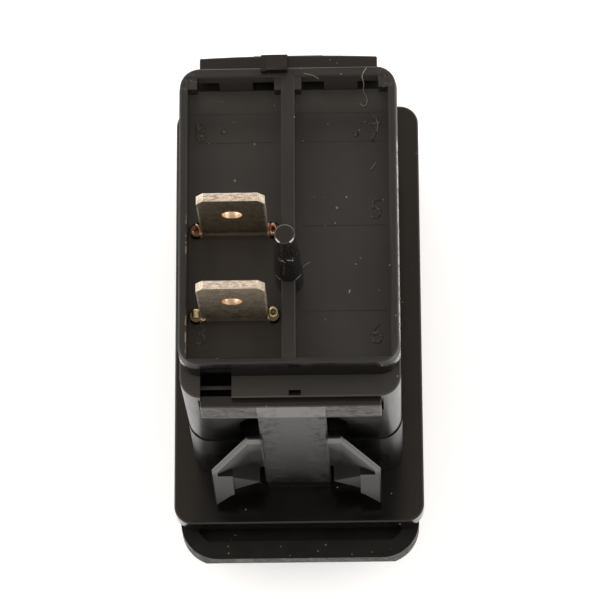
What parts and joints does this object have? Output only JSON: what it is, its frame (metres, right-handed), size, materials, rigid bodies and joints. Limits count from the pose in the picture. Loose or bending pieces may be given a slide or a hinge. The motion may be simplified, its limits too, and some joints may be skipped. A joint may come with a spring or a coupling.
{
  "type": "panel rocker switch",
  "caption": "Snap-in panel rocker switch with a rear terminal housing, push-on tabs, a keying post and winged snap legs behind its flange.",
  "frame": {"origin": "centre of the flange's back face, the face that seats on the panel", "axes": "+Z out of the back of the panel towards the terminals, +X across the switch, +Y along it towards the end with the latch hook"},
  "size_m": [0.0252, 0.0481, 0.0512],
  "materials": {
    "bracket_plastic": "satin to gloss moulding",
    "housing_plastic": "satin moulding",
    "cap_plastic": "satin",
    "stem_plastic": "satin moulding",
    "plunger_plastic": "natural moulding",
    "terminal_metal": "plated brass, sheared edges",
    "blade_copper": "rolled copper alloy",
    "contact_silver": "silver alloy",
    "spring_steel": "drawn wire",
    "pin_steel": "ground",
    "seal_rubber": "moulded"
  },
  "bodies": {
    "housing": {"mounting_bracket": "bracket_plastic", "terminal_base": "housing_plastic", "base_seal": "seal_rubber", "common_terminal": "terminal_metal", "load_terminal": "terminal_metal", "fixed_contact": "contact_silver", "pivot_pin": "pin_steel"},
    "rocker": {"rocker_cap": "cap_plastic", "rocker_stem": "stem_plastic", "plunger_spring": "spring_steel"},
    "plunger": {"plunger": "plunger_plastic"},
    "blade": {"contact_blade": "blade_copper", "moving_contact": "contact_silver"}
  },
  "joints": [
    {"name": "rocker_tilt", "type": "hinge", "parent": "housing", "child": "rocker", "pos_m": [0, 0, 0.0026], "axis": [1, 0, 0], "range_deg": [0, 14]},
    {"name": "blade_rock", "type": "hinge", "parent": "housing", "child": "blade", "pos_m": [-0.00517, 0, 0.0207], "axis": [1, 0, 0], "range_deg": [-7, 0]},
    {"name": "plunger_slide", "type": "slide", "parent": "rocker", "child": "plunger", "axis": [0, 0.1219, 0.9925], "range_m": [-0.0003, 0], "stiffness_N_per_m": 8, "springref_m": 0.0004}
  ],
  "couplings": [
    {"joint": "blade_rock", "follows": "rocker_tilt", "ratio": -0.5}
  ]
}
